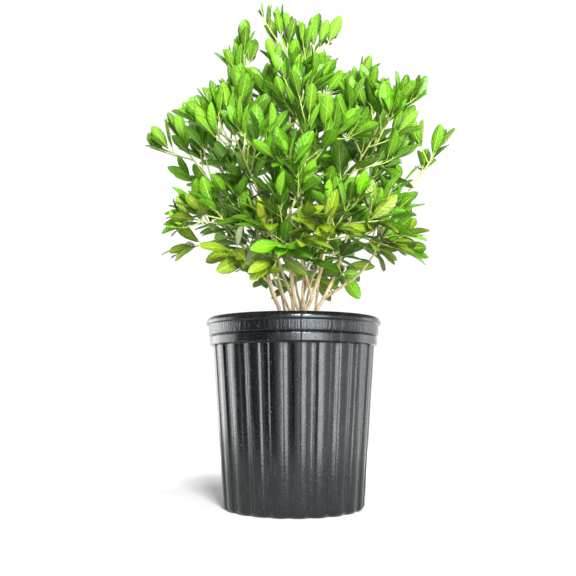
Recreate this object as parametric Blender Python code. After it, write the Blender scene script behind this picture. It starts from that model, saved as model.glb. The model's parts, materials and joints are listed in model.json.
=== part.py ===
"""Potted ocala anise: a young evergreen shrub with several stems, in a fluted black nursery pot.

Metres, +Z up. The origin is the centre of the pot's flat underside. -Y faces the viewer of the
reference picture and +X is to the viewer's right. Azimuths run from +X towards +Y, in degrees.

The stems stand on the potting mix, each stem carries tapering boughs, and each bough's tip
carries one mass of foliage: a stem, the shoots that leave it by a seeded rule, and their leaves.
"""

import math
import random
from dataclasses import dataclass, field

import bmesh
import bpy
from mathutils import Vector
from mathutils.bvhtree import BVHTree

CLEAR = 0.0003  # gap between pieces that touch in life
GOLDEN_ANGLE = math.radians(137.5)  # turn from one leaf or shoot to the next round a stem

# The pot
POT_HEIGHT = 0.280
WALL = 0.0016
FOOT_RADIUS = 0.1045  # crest of the flutes at the floor
SHOULDER_RADIUS = 0.1230  # crest of the flutes under the bands
SHOULDER_HEIGHT = 0.2380
FOOT_CHAMFER = 0.0030
FLUTES = 22
FLUTE_DEPTH = 0.0042
FLUTE_CREST = 0.50  # share of one flute's width that is the flat crest
FLUTE_FLOOR = 0.30  # share that is the flat bottom of the groove
FLUTE_PHASE = math.radians(-69.5)  # centre of one crest
LOW_BAND_RADIUS = 0.1272
LOW_BAND_TOP = 0.2510
HIGH_BAND_RADIUS = 0.1295
HIGH_BAND_BOTTOM = 0.2535
HIGH_BAND_TOP = 0.2690
BAND_GROOVE = 0.0022  # depth of the groove between the two bands
LIP_RADIUS = 0.1335
LIP_CREST_RADIUS = 0.1290
LIP_MOUTH_RADIUS = 0.1262
DRAIN_HOLES = 6
DRAIN_HOLE_RADIUS = 0.0065
DRAIN_CIRCLE_RADIUS = 0.0780
DRAIN_HOLE_SIDES = 12

# The potting mix, which fills the pot to a little under its lip
MIX_TOP = 0.2550

# Limbs
STEM_SIDES = 7
BOUGH_SIDES = 5
STEM_RINGS = 5
BOUGH_RINGS = 4
FLARE_HEIGHT = 0.010
FLARE = 1.35  # radius at the cut over the radius above the flare
STEM_TAPER = 0.18  # share of its radius that a stem loses by its tip
LEADER_TAPER = 0.42
LIMB_SHADE = math.radians(60)  # limbs are shaded smooth over edges blunter than this
POT_SHADE = math.radians(25)
BOUGH_ROOT_RADIUS = 0.0027
FORK_ANGLE = math.radians(44)  # between a bough's root and the stem that it leaves
MASS_STEM_RADIUS = 0.0017

# Foliage
LEAF_LENGTH = 0.073
LEAF_WIDTH = 0.40  # share of the length
LEAF_RIDGE = 0.017  # height of the midrib's ridge, as a share of the length
LEAF_DROOP = 0.07  # how far the tip hangs below the root's plane, as a share of the length
LEAF_BEND = 0.38  # share of the length from which the blade droops
RIDGE_PLACE = 0.5  # share of the length at which the ridge is highest
ROOT_SHARE = 0.24  # share of a leaf next to its root, where neighbours may meet
YOUNG_LEAN = 30  # degrees between the youngest leaf and its twig
OLD_LEAN = 72
YOUNG_LENGTH = 0.72  # length of the youngest leaf over that of the oldest
LAST_ROOT = 0.985  # share of the way up a twig where its youngest leaf is rooted
LEAFY_SHARE = 0.50  # share of a twig that carries leaves
WHORL_LEAVES = 5
MASS_STEM_RADII = (MASS_STEM_RADIUS, 0.0016, 0.0014, 0.0011)
SHOOT_RADII = (0.0015, 0.0013, 0.0011)
FIRST_SHOOT = 0.22  # share of the way up a mass's stem where its first shoot leaves
SHOOT_SPREAD = 0.42  # share of the stem from the first shoot to the last
SHOOT_LEANS = (38, 58)  # degrees between a shoot and its stem
SHOOT_LENGTHS = (0.52, 0.70)  # shares of the stem's length
UPRIGHT_RISE = 0.25  # how much the leaves of an upright mass turn up
LEANING_FALL = 0.40  # how much less those of a mass that leans 60 degrees do
SPACE_MARGIN = 0.0006  # how far a leaf or twig stays inside its mass's own space
LIMB_MARGIN = 0.0042  # how far a leaf's sampled points stay from a limb's skin
TWIG_MARGIN = 0.0016  # the same from the other twigs of its mass
LEAF_REACH = 0.054  # how far out and up leaves may pass their mass's tip
LOWEST_LEAF = POT_HEIGHT + 0.036
MOST_TRIES = 10


@dataclass
class Limb:
    """A tapering limb along a smooth line."""

    name: str
    points: list
    radii: list
    start_direction: Vector
    end_direction: Vector
    parent: str = ""

    def at(self, share):
        """The point, direction and radius at a share of the way along."""
        place = share * (len(self.points) - 1)
        i = min(int(place), len(self.points) - 2)
        t = place - i
        point = self.points[i].lerp(self.points[i + 1], t)
        direction = (self.points[i + 1] - self.points[i]).normalized()
        radius = self.radii[i] + (self.radii[i + 1] - self.radii[i]) * t
        return point, direction, radius


@dataclass
class Stem:
    """Where a stem leaves the mix and where it ends, as azimuth and distance from the pot's axis."""

    name: str
    foot_azimuth: float
    foot_reach: float
    tip_azimuth: float
    tip_reach: float
    tip_height: float
    radius: float


@dataclass
class Mass:
    """One mass of foliage: where its stem's tip is, how the stem leans, and the limb that its bough leaves."""

    name: str
    limb: str  # the stem that the bough leaves
    station: float  # share of the way up that stem, 1 where the bough carries it on
    azimuth: float
    reach: float  # of the mass's tip, from the pot's axis
    height: float  # of the mass's tip
    lean: float  # of the mass's stem from upright, in degrees
    length: float = 0.118
    shoots: int = 3
    seed: int = 0  # which growth of the rule the mass takes
    site: Vector = field(default=None)


STEMS = (
    Stem("stem_centre", 0, 0.000, 180, 0.002, 0.338, 0.0042),
    Stem("stem_left", 205, 0.017, 195, 0.048, 0.366, 0.0033),
    Stem("stem_left_back", 120, 0.020, 128, 0.046, 0.372, 0.0026),
    Stem("stem_right_front", 312, 0.020, 312, 0.054, 0.336, 0.0036),
    Stem("stem_right", 15, 0.026, 12, 0.062, 0.340, 0.0036),
    Stem("stem_back", 75, 0.027, 72, 0.066, 0.352, 0.0031),
)
LEADER = Stem("leader", 180, 0.002, 190, 0.006, 0.640, 0.0034)

MASSES = (
    Mass("top", "leader", 1.0, 185, 0.010, 0.750, 3, length=0.105, shoots=4, seed=10),
    Mass("top_right", "leader", 0.90, 352, 0.036, 0.740, 8, length=0.095, shoots=2, seed=2),
    Mass("upper_left", "leader", 0.72, 178, 0.086, 0.708, 16, length=0.095, shoots=2, seed=6),
    Mass("upper_right", "leader", 0.78, 8, 0.094, 0.660, 28, length=0.100, seed=12),
    Mass("upper_front", "leader", 0.62, 270, 0.082, 0.640, 30, seed=2),
    Mass("upper_back", "leader", 0.55, 95, 0.090, 0.645, 30, seed=1),
    Mass("shoulder_left", "stem_left", 1.0, 182, 0.128, 0.622, 26, seed=2),
    Mass("left", "stem_left", 0.76, 190, 0.180, 0.562, 36, seed=12),
    Mass("low_left", "stem_left", 0.50, 178, 0.158, 0.450, 56, seed=3),
    Mass("front_left", "stem_centre", 0.74, 234, 0.160, 0.560, 36, seed=10),
    Mass("low_front_left", "stem_centre", 0.46, 216, 0.150, 0.440, 56, seed=6),
    Mass("back_left", "stem_left_back", 1.0, 142, 0.172, 0.570, 38, seed=11),
    Mass("low_back_left", "stem_left_back", 0.70, 132, 0.156, 0.440, 56, seed=6),
    Mass("front", "stem_right_front", 0.76, 278, 0.152, 0.552, 34, seed=3),
    Mass("front_right", "stem_right_front", 1.0, 322, 0.166, 0.570, 36, seed=3),
    Mass("low_front", "stem_right_front", 0.34, 262, 0.148, 0.430, 54, seed=7),
    Mass("low_front_right", "stem_right_front", 0.52, 302, 0.150, 0.435, 56, seed=7),
    Mass("right", "stem_right", 1.0, 2, 0.160, 0.626, 24, seed=13),
    Mass("far_right", "stem_right", 0.74, 6, 0.236, 0.562, 34, length=0.080, shoots=1, seed=6),
    Mass("low_right", "stem_right", 0.50, 342, 0.164, 0.440, 58, seed=3),
    Mass("back_right", "stem_back", 0.80, 44, 0.178, 0.580, 36, seed=1),
    Mass("back", "stem_back", 1.0, 92, 0.172, 0.570, 36, seed=6),
    Mass("low_back_right", "stem_back", 0.40, 40, 0.156, 0.440, 56),
    Mass("low_back", "stem_back", 0.60, 86, 0.152, 0.440, 56, seed=1),
)


def polar(azimuth, reach, height):
    angle = math.radians(azimuth)
    return Vector((reach * math.cos(angle), reach * math.sin(angle), height))


def leaning(azimuth, lean):
    """The direction that leans from upright towards an azimuth, both in degrees."""
    tilt = math.radians(lean)
    return polar(azimuth, math.sin(tilt), math.cos(tilt))


def smooth_line(start, end, start_direction, end_direction, count):
    """Points along the cubic curve that leaves start and reaches end in the given directions."""
    handle = (end - start).length / 3
    a, b = start + start_direction * handle, end - end_direction * handle
    line = []
    for i in range(count):
        t = i / (count - 1)
        u = 1 - t
        line.append(start * u**3 + a * (3 * u * u * t) + b * (3 * u * t * t) + end * t**3)
    return line


def across(direction):
    """Two unit vectors at right angles to a direction and to each other."""
    side = direction.orthogonal().normalized()
    return side, direction.cross(side).normalized()


def new_object(name, build, material=None, shade=None):
    """An object whose mesh build(bm) makes, shaded smooth over edges blunter than shade."""
    mesh = bpy.data.meshes.new(name)
    bm = bmesh.new()
    build(bm)
    bmesh.ops.recalc_face_normals(bm, faces=bm.faces)
    bm.to_mesh(mesh)
    bm.free()
    if shade:
        mesh.shade_smooth()
        mesh.set_sharp_from_angle(angle=shade)
    obj = bpy.data.objects.new(name, mesh)
    if material:
        mesh.materials.append(material)
    bpy.context.scene.collection.objects.link(obj)
    return obj


def loft(bm, rings):
    """Faces between rings of equal length, with the first and last ring closed.

    Every side face is split from its lower left to its upper right, so that two lofts of the
    same section keep their gap.
    """
    made = [[bm.verts.new(p) for p in ring] for ring in rings]
    count = len(made[0])
    for first, second in zip(made, made[1:]):
        low, high = (first, second) if first[0].co.z <= second[0].co.z else (second, first)
        for i in range(count):
            j = (i + 1) % count
            bm.faces.new((low[i], low[j], high[j]))
            bm.faces.new((low[i], high[j], high[i]))
    bm.faces.new(made[0][::-1])
    bm.faces.new(made[-1])


def tube(bm, points, radii, sides, start_direction, end_direction):
    """A closed tube along the points, whose end faces are square to the end directions."""
    rings = []
    side, _ = across(start_direction)
    for i, (point, radius) in enumerate(zip(points, radii)):
        if i == 0:
            along = start_direction
        elif i == len(points) - 1:
            along = end_direction
        else:
            along = (points[i + 1] - points[i - 1]).normalized()
        side = (side - along * side.dot(along)).normalized()
        other = along.cross(side)
        turns = [2 * math.pi * k / sides for k in range(sides)]
        rings.append([point + (side * math.cos(a) + other * math.sin(a)) * radius for a in turns])
    loft(bm, rings)


def plastic(name, colour, roughness):
    material = bpy.data.materials.new(name)
    material.use_nodes = True
    shader = material.node_tree.nodes["Principled BSDF"]
    shader.inputs["Base Color"].default_value = (*colour, 1)
    shader.inputs["Roughness"].default_value = roughness
    shader.inputs["Metallic"].default_value = 0
    return material


# Pot and potting mix


def flute_radius(height):
    """Radius of the flutes' crests at a height."""
    return FOOT_RADIUS + (SHOULDER_RADIUS - FOOT_RADIUS) * height / SHOULDER_HEIGHT


def fluted_ring(radius, height, depth):
    """One ring of the pot's section: for each flute a flat crest and a groove of that depth."""
    pitch = 2 * math.pi / FLUTES
    ring = []
    for k in range(FLUTES):
        centre = FLUTE_PHASE + k * pitch
        corners = (
            (-FLUTE_CREST / 2, radius),
            (FLUTE_CREST / 2, radius),
            (0.5 - FLUTE_FLOOR / 2, radius - depth),
            (0.5 + FLUTE_FLOOR / 2, radius - depth),
        )
        for share, reach in corners:
            angle = centre + share * pitch
            ring.append(Vector((reach * math.cos(angle), reach * math.sin(angle), height)))
    return ring


def pot(material):
    """The thin wall from the floor up to the rolled lip, outside first and then down the inside."""
    outside = (
        (FOOT_RADIUS - FOOT_CHAMFER, 0, FLUTE_DEPTH),
        (flute_radius(FOOT_CHAMFER), FOOT_CHAMFER, FLUTE_DEPTH),
        (SHOULDER_RADIUS, SHOULDER_HEIGHT, FLUTE_DEPTH),
        (LOW_BAND_RADIUS, SHOULDER_HEIGHT + 0.0008, 0),
        (LOW_BAND_RADIUS + 0.0003, LOW_BAND_TOP, 0),
        (LOW_BAND_RADIUS - BAND_GROOVE, (LOW_BAND_TOP + HIGH_BAND_BOTTOM) / 2, 0),
        (HIGH_BAND_RADIUS - 0.0004, HIGH_BAND_BOTTOM, 0),
        (HIGH_BAND_RADIUS + 0.0004, HIGH_BAND_TOP, 0),
        (LIP_RADIUS, HIGH_BAND_TOP + 0.0010, 0),
        (LIP_RADIUS - 0.0012, POT_HEIGHT - 0.0030, 0),
        (LIP_CREST_RADIUS, POT_HEIGHT, 0),
    )
    inside = (
        (LIP_MOUTH_RADIUS, POT_HEIGHT - 0.0012, 0),
        (LOW_BAND_RADIUS - BAND_GROOVE - WALL, SHOULDER_HEIGHT + 0.0035, 0),
        (SHOULDER_RADIUS - WALL, SHOULDER_HEIGHT - WALL, FLUTE_DEPTH),
        (flute_radius(WALL) - WALL, WALL, FLUTE_DEPTH),
    )

    def build(bm):
        loft(bm, [fluted_ring(*row) for row in outside + inside])

    body = new_object("pot", build, material, POT_SHADE)
    cut(body, new_object("drain_hole_cutter", drain_holes))


def drain_holes(bm):
    """Round cutters through the floor, in a circle."""
    for k in range(DRAIN_HOLES):
        angle = 2 * math.pi * (k + 0.5) / DRAIN_HOLES
        centre = Vector((math.cos(angle), math.sin(angle), 0)) * DRAIN_CIRCLE_RADIUS
        low, high = centre - Vector((0, 0, WALL)), centre + Vector((0, 0, 2 * WALL))
        up = Vector((0, 0, 1))
        tube(bm, [low, high], [DRAIN_HOLE_RADIUS] * 2, DRAIN_HOLE_SIDES, up, up)


def potting_mix(material):
    """The mix, which fills the pot from its floor to MIX_TOP."""
    inset = WALL + CLEAR
    floor = WALL + CLEAR
    band_inside = LOW_BAND_RADIUS - BAND_GROOVE - inset
    rows = (
        (flute_radius(floor) - inset, floor, FLUTE_DEPTH),
        (SHOULDER_RADIUS - inset, SHOULDER_HEIGHT - WALL, FLUTE_DEPTH),
        (band_inside - CLEAR, SHOULDER_HEIGHT + 0.0038, 0),
        (band_inside, MIX_TOP, 0),
    )

    def build(bm):
        loft(bm, [fluted_ring(*row) for row in rows])

    new_object("potting_mix", build, material)


# Stems and boughs


def stem_limb(stem):
    """The limb of a stem that stands on the mix, with a flare above its flat cut."""
    foot = polar(stem.foot_azimuth, stem.foot_reach, MIX_TOP + CLEAR)
    tip = polar(stem.tip_azimuth, stem.tip_reach, stem.tip_height)
    up = Vector((0, 0, 1))
    line = smooth_line(foot, tip, up, (tip - foot).normalized(), STEM_RINGS)
    flare_top = foot + (line[1] - foot) * (FLARE_HEIGHT / (line[1] - foot).length)
    line.insert(1, flare_top)
    radii = [stem.radius * FLARE] + [
        stem.radius * (1 - STEM_TAPER * i / (STEM_RINGS - 1)) for i in range(STEM_RINGS)
    ]
    return Limb(stem.name, line, radii, up, (line[-1] - line[-2]).normalized())


def leader_limb(centre):
    """The leader, which carries the centre stem on through the crown."""
    direction = centre.end_direction
    start = centre.points[-1] + direction * CLEAR
    tip = polar(LEADER.tip_azimuth, LEADER.tip_reach, LEADER.tip_height)
    line = smooth_line(start, tip, direction, Vector((0, 0, 1)), STEM_RINGS + 2)
    count = len(line) - 1
    radii = [LEADER.radius * (1 - LEADER_TAPER * i / count) for i in range(count + 1)]
    return Limb(LEADER.name, line, radii, direction, Vector((0, 0, 1)), centre.name)


def mass_tip(mass):
    return polar(mass.azimuth, mass.reach, mass.height)


def mass_root(mass):
    """Where the mass's stem starts."""
    return mass_tip(mass) - leaning(mass.azimuth, mass.lean) * mass.length


def bough_limb(mass, parent):
    """The bough from its parent limb to the mass's root."""
    start, parent_direction, parent_radius = parent.at(mass.station)
    end_direction = leaning(mass.azimuth, mass.lean)
    end = mass_root(mass) - end_direction * CLEAR
    if mass.station >= 1:
        start_direction = parent.end_direction
        start = start + start_direction * CLEAR
        root_radius = parent.radii[-1]
    else:
        towards = (end - start).normalized()
        outward = (towards - parent_direction * towards.dot(parent_direction)).normalized()
        start_direction = parent_direction * math.cos(FORK_ANGLE) + outward * math.sin(FORK_ANGLE)
        root_radius = min(BOUGH_ROOT_RADIUS, parent_radius * 0.85)
    line = smooth_line(start, end, start_direction, end_direction, BOUGH_RINGS)
    radii = [
        root_radius + (MASS_STEM_RADIUS - root_radius) * i / (BOUGH_RINGS - 1)
        for i in range(BOUGH_RINGS)
    ]
    name = "bough_" + mass.name
    return Limb(name, line, radii, start_direction, end_direction, parent.name)


def limb_object(limb, sides, material):
    def build(bm):
        tube(bm, limb.points, limb.radii, sides, limb.start_direction, limb.end_direction)

    return new_object(limb.name, build, material, LIMB_SHADE)


def cut(obj, cutter):
    """Takes the cutter's shape out of the object."""
    cutter.hide_render = True
    cutter.display_type = "WIRE"
    modifier = obj.modifiers.new("cut", "BOOLEAN")
    modifier.operation = "DIFFERENCE"
    modifier.solver = "EXACT"
    modifier.object = cutter


def collar(limb, sides):
    """A cutter a little fatter than a limb, which leaves the gap between it and a bough's root."""
    thicker = [radius / math.cos(math.pi / sides) + CLEAR for radius in limb.radii]

    def build(bm):
        tube(bm, limb.points, thicker, sides, limb.start_direction, limb.end_direction)

    return new_object(limb.name + "_collar", build)


# Foliage

# A leaf's edge from its root round by its tip: shares of its length and of its half width.
LEAF_EDGE = ((0, 0), (0.38, -0.80), (0.70, -1), (1, 0), (0.70, 1), (0.38, 0.80))
# Corners are numbered along the edge, and the ridge's top comes last.
LEAF_TOP = tuple((i, (i + 1) % 6, 6) for i in range(6))
LEAF_UNDERSIDE = ((1, 0, 5), (4, 1, 5), (2, 1, 4), (3, 2, 4))
LEAF_FACES = LEAF_TOP + LEAF_UNDERSIDE


def leaf_points(root, direction, face, length):
    """The corners of a leaf that leaves root along direction. face is the side that looks up."""
    side = direction.cross(face).normalized()
    face = side.cross(direction).normalized()
    points = []
    for along, width in LEAF_EDGE:
        droop = LEAF_DROOP * max(0.0, along - LEAF_BEND) / (1 - LEAF_BEND)
        flat = direction * along + side * (width * LEAF_WIDTH / 2)
        points.append(root + (flat - face * droop) * length)
    points.append(root + (direction * RIDGE_PLACE + face * LEAF_RIDGE) * length)
    return points


def leaf_samples(points):
    """Points spread over a leaf past its root."""
    root, *rim, ridge = points
    spread = [root.lerp(corner, 0.5) for corner in (rim[0], rim[-1], ridge)]
    spread += [a.lerp(b, 0.5) for a, b in zip(rim, rim[1:])]
    for corner in rim:
        spread += [corner, corner.lerp(ridge, 0.35), corner.lerp(ridge, 0.7)]
    return spread + [ridge]


def leaf_blade(points):
    """The leaf past its root, as a tree that finds where it meets another."""
    return BVHTree.FromPolygons([points[0].lerp(points[6], ROOT_SHARE)] + points[1:], LEAF_FACES)


def leaf_mesh(points):
    def build(bm):
        corners = [bm.verts.new(p) for p in points]
        for face in LEAF_FACES:
            bm.faces.new([corners[i] for i in face])

    return build


def distance_to_limb(point, limb):
    """How far a point is outside a limb's skin."""
    nearest = 1.0
    for i in range(len(limb.points) - 1):
        a, b = limb.points[i], limb.points[i + 1]
        span = b - a
        t = max(0.0, min(1.0, (point - a).dot(span) / span.length_squared))
        radius = limb.radii[i] + (limb.radii[i + 1] - limb.radii[i]) * t
        nearest = min(nearest, (point - a - span * t).length - radius)
    return nearest


class Space:
    """A mass's own space: the points nearer to its site than to another mass's, and off the limbs."""

    def __init__(self, mass, masses, limbs):
        self.walls = []
        for other in masses:
            if other is not mass:
                middle = (mass.site + other.site) / 2
                self.walls.append((middle, (other.site - mass.site).normalized()))
        self.farthest = mass.reach + LEAF_REACH
        self.highest = mass.height + LEAF_REACH
        self.limbs = limbs

    def holds(self, points):
        for middle, outward in self.walls:
            if any((p - middle).dot(outward) > -SPACE_MARGIN for p in points):
                return False
        if any(not LOWEST_LEAF < p.z < self.highest for p in points):
            return False
        if any(math.hypot(p.x, p.y) > self.farthest for p in points):
            return False
        return all(distance_to_limb(p, limb) > LIMB_MARGIN for limb in self.limbs for p in points)


def fitting_blade(leaf, blades, twigs, space):
    """The leaf's blade, if it keeps to its space and clear of the leaves and twigs there."""
    samples = leaf_samples(leaf)
    if not space.holds(samples):
        return None
    if any(distance_to_limb(p, twig) < TWIG_MARGIN for twig in twigs for p in samples):
        return None
    blade = leaf_blade(leaf)
    if any(blade.overlap(other) for other in blades):
        return None
    return blade


def grow_leaves(twig, count, rise, others, blades, space, chance):
    """Leaves round the end of a shoot, crowded at its tip. rise lifts or lowers their headings."""
    side, other = across(twig.end_direction)
    first_turn = chance.uniform(0, 2 * math.pi)
    made = []
    for k in range(count):
        age = k / (count - 1)
        root, direction, _ = twig.at(LAST_ROOT - LEAFY_SHARE * age)
        for attempt in range(MOST_TRIES):
            turn = first_turn + k * GOLDEN_ANGLE + attempt * 0.6
            lean = math.radians(YOUNG_LEAN + (OLD_LEAN - YOUNG_LEAN) * age) * chance.uniform(0.8, 1.25)
            radial = side * math.cos(turn) + other * math.sin(turn)
            heading = direction * math.cos(lean) + radial * math.sin(lean)
            heading = (heading + Vector((0, 0, rise))).normalized()
            face = (direction - heading * direction.dot(heading)).normalized()
            grown = YOUNG_LENGTH + (1 - YOUNG_LENGTH) * age
            leaf = leaf_points(root, heading, face, LEAF_LENGTH * grown * chance.uniform(0.92, 1.1))
            blade = fitting_blade(leaf, blades, others, space)
            if blade:
                blades.append(blade)
                made.append(leaf)
                break
    return made


def grow_mass(mass, space):
    """The twigs and the leaves of a mass."""
    chance = random.Random(f"{mass.name} {mass.seed}")
    rise = UPRIGHT_RISE - LEANING_FALL * mass.lean / 60
    direction = leaning(mass.azimuth, mass.lean)
    upward = leaning(mass.azimuth, mass.lean * 0.7)
    line = smooth_line(mass_root(mass), mass_tip(mass), direction, upward, len(MASS_STEM_RADII))
    stem = Limb("stem", line, MASS_STEM_RADII, direction, upward)
    twigs = [stem]
    side, other = across(direction)
    turn = chance.uniform(0, 2 * math.pi)
    for k in range(mass.shoots):
        share = FIRST_SHOOT + SHOOT_SPREAD * k / max(1, mass.shoots - 1)
        start, _, _ = stem.at(share)
        for attempt in range(MOST_TRIES):
            spin = turn + k * 2 * math.pi / mass.shoots + attempt * 0.35
            lean = math.radians(chance.uniform(*SHOOT_LEANS))
            radial = side * math.cos(spin) + other * math.sin(spin)
            away = direction * math.cos(lean) + radial * math.sin(lean)
            length = mass.length * chance.uniform(*SHOOT_LENGTHS) * (1.1 - 0.4 * share)
            end = start + away * length + Vector((0, 0, rise * 0.05))
            turned = (away + Vector((0, 0, 0.2 + rise))).normalized()
            shoot = smooth_line(start, end, away, turned, len(SHOOT_RADII))
            if space.holds(shoot[1:]):
                twigs.append(Limb("shoot", shoot, SHOOT_RADII, away, turned))
                break
    leaves, blades = [], []
    for twig in twigs:
        others = [t for t in twigs if t is not twig]
        count = WHORL_LEAVES + (twig is stem)
        leaves += grow_leaves(twig, count, rise, others, blades, space, chance)
    return twigs, leaves


def fused(name, builds, material):
    """One object from the union of many closed shapes."""
    body = new_object(name, builds[0], material)
    group = bpy.data.collections.new(name + "_pieces")
    bpy.context.scene.collection.children.link(group)
    pieces = []
    for i, build in enumerate(builds[1:]):
        piece = new_object(f"{name}_piece_{i}", build)
        bpy.context.scene.collection.objects.unlink(piece)
        group.objects.link(piece)
        pieces.append(piece)
    modifier = body.modifiers.new("fuse", "BOOLEAN")
    modifier.operation = "UNION"
    modifier.solver = "EXACT"
    modifier.operand_type = "COLLECTION"
    modifier.collection = group
    graph = bpy.context.evaluated_depsgraph_get()
    whole = bpy.data.meshes.new_from_object(body.evaluated_get(graph))
    body.modifiers.clear()
    body.data = whole
    for piece in pieces:
        bpy.data.objects.remove(piece)
    bpy.data.collections.remove(group)


def mass_object(mass, space, material):
    twigs, leaves = grow_mass(mass, space)
    builds = []
    for twig in twigs:

        def build(bm, twig=twig):
            tube(bm, twig.points, twig.radii, 3, twig.start_direction, twig.end_direction)

        builds.append(build)
    builds += [leaf_mesh(leaf) for leaf in leaves]
    fused("foliage_" + mass.name, builds, material)


def grown_limbs():
    """All limbs, and those among them that carry boughs. It also gives each mass its site."""
    carriers = {stem.name: stem_limb(stem) for stem in STEMS}
    carriers["leader"] = leader_limb(carriers["stem_centre"])
    limbs = dict(carriers)
    for mass in MASSES:
        limb = bough_limb(mass, carriers[mass.limb])
        limbs[limb.name] = limb
        mass.site = mass_root(mass).lerp(mass_tip(mass), 0.75)
    return limbs, carriers


def main():
    for obj in list(bpy.data.objects):
        bpy.data.objects.remove(obj)
    black = plastic("black_plastic", (0.030, 0.032, 0.034), 0.38)
    soil = plastic("bark_mix", (0.055, 0.030, 0.024), 0.95)
    bark = plastic("tan_bark", (0.50, 0.38, 0.22), 0.80)
    green = plastic("leaf_green", (0.19, 0.42, 0.035), 0.45)

    pot(black)
    potting_mix(soil)
    limbs, carriers = grown_limbs()
    collars = {name: collar(limb, STEM_SIDES) for name, limb in carriers.items()}
    for name, limb in limbs.items():
        sides = STEM_SIDES if name in carriers else BOUGH_SIDES
        obj = limb_object(limb, sides, bark)
        if name not in carriers and limb.start_direction != limbs[limb.parent].end_direction:
            cut(obj, collars[limb.parent])

    for mass in MASSES:
        space = Space(mass, MASSES, list(limbs.values()))
        mass_object(mass, space, green)


if __name__ == "__main__":
    main()
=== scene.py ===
"""The look of a potted ocala anise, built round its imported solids.

Metres, +Z up, in the frame's own place: the origin is the centre of the pot's flat underside, -Y
faces the photograph's camera and +X is to its right. Azimuths run from +X towards +Y, in degrees.

Stems, boughs and the first shoots of each mass are grown by the rule that made the solids. From
them the same rule goes on to finer twigs, leaves with their midribs, and buds.
"""

import json
import random
from dataclasses import dataclass
from math import ceil, cos, exp, hypot, pi, radians, sin, sqrt
from typing import NamedTuple

import bpy
import numpy as np
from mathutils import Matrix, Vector, noise

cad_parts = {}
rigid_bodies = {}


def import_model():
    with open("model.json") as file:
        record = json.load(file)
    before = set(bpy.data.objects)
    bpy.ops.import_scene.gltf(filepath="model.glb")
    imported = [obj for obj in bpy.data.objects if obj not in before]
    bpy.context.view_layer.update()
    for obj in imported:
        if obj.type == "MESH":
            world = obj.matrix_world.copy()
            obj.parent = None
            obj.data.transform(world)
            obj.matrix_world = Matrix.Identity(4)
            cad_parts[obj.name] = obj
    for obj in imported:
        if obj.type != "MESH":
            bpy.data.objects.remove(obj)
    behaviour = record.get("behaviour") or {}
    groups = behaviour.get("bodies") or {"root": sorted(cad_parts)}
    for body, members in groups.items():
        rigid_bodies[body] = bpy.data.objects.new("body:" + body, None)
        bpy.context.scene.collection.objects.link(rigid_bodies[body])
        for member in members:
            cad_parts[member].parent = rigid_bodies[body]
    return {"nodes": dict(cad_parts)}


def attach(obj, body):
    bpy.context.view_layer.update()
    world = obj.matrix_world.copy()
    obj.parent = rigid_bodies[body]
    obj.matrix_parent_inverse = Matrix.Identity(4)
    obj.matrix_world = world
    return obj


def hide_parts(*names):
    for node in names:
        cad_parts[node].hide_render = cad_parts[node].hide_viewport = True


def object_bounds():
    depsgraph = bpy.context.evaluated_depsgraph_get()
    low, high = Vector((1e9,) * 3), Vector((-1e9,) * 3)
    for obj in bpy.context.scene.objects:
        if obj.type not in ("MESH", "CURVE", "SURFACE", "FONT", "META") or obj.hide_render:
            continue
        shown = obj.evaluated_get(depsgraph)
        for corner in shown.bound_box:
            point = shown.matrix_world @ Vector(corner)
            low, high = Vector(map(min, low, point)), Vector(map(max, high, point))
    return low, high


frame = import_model()
CAD_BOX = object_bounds()

# The offsets that noise_vector uses come from this seed
noise.seed_set(1)

CLEAR = 0.0003
GOLDEN_ANGLE = radians(137.5)
UP = Vector((0, 0, 1))

# The pot, as in the solids
POT_HEIGHT = 0.280
WALL = 0.0016
FOOT_RADIUS = 0.1045
SHOULDER_RADIUS = 0.1230
SHOULDER_HEIGHT = 0.2380
FLUTES = 22
FLUTE_DEPTH = 0.0042
FLUTE_CREST = 0.50
FLUTE_FLOOR = 0.30
FLUTE_PHASE = radians(-69.5)
FLUTE_ROUNDING = 0.035
FLUTE_CROWN = 0.20
MIX_TOP = 0.2550

# Limbs and the first shoots, as in the solids
STEM_RINGS = 5
BOUGH_RINGS = 4
FLARE_HEIGHT = 0.010
FLARE = 1.35
STEM_TAPER = 0.18
LEADER_TAPER = 0.42
BOUGH_ROOT_RADIUS = 0.0027
FORK_ANGLE = radians(44)
BOUGH_ROOT_SHARE = 0.85
MASS_STEM_RADIUS = 0.0017
MASS_STEM_RADII = (MASS_STEM_RADIUS, 0.0016, 0.0014, 0.0011)
SITE_SHARE = 0.75
SHOOT_RADII = (0.0015, 0.0013, 0.0011)
FIRST_SHOOT = 0.22
SHOOT_SPREAD = 0.42
SHOOT_LEANS = (38, 58)
SHOOT_LENGTHS = (0.52, 0.70)
SHOOT_TURN = 0.35
UPRIGHT_RISE = 0.25
LEANING_FALL = 0.40
SPACE_MARGIN = 0.0006
LIMB_MARGIN = 0.0042
LEAF_REACH = 0.054
LOWEST_LEAF = POT_HEIGHT + 0.036
MOST_TRIES = 10

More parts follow.
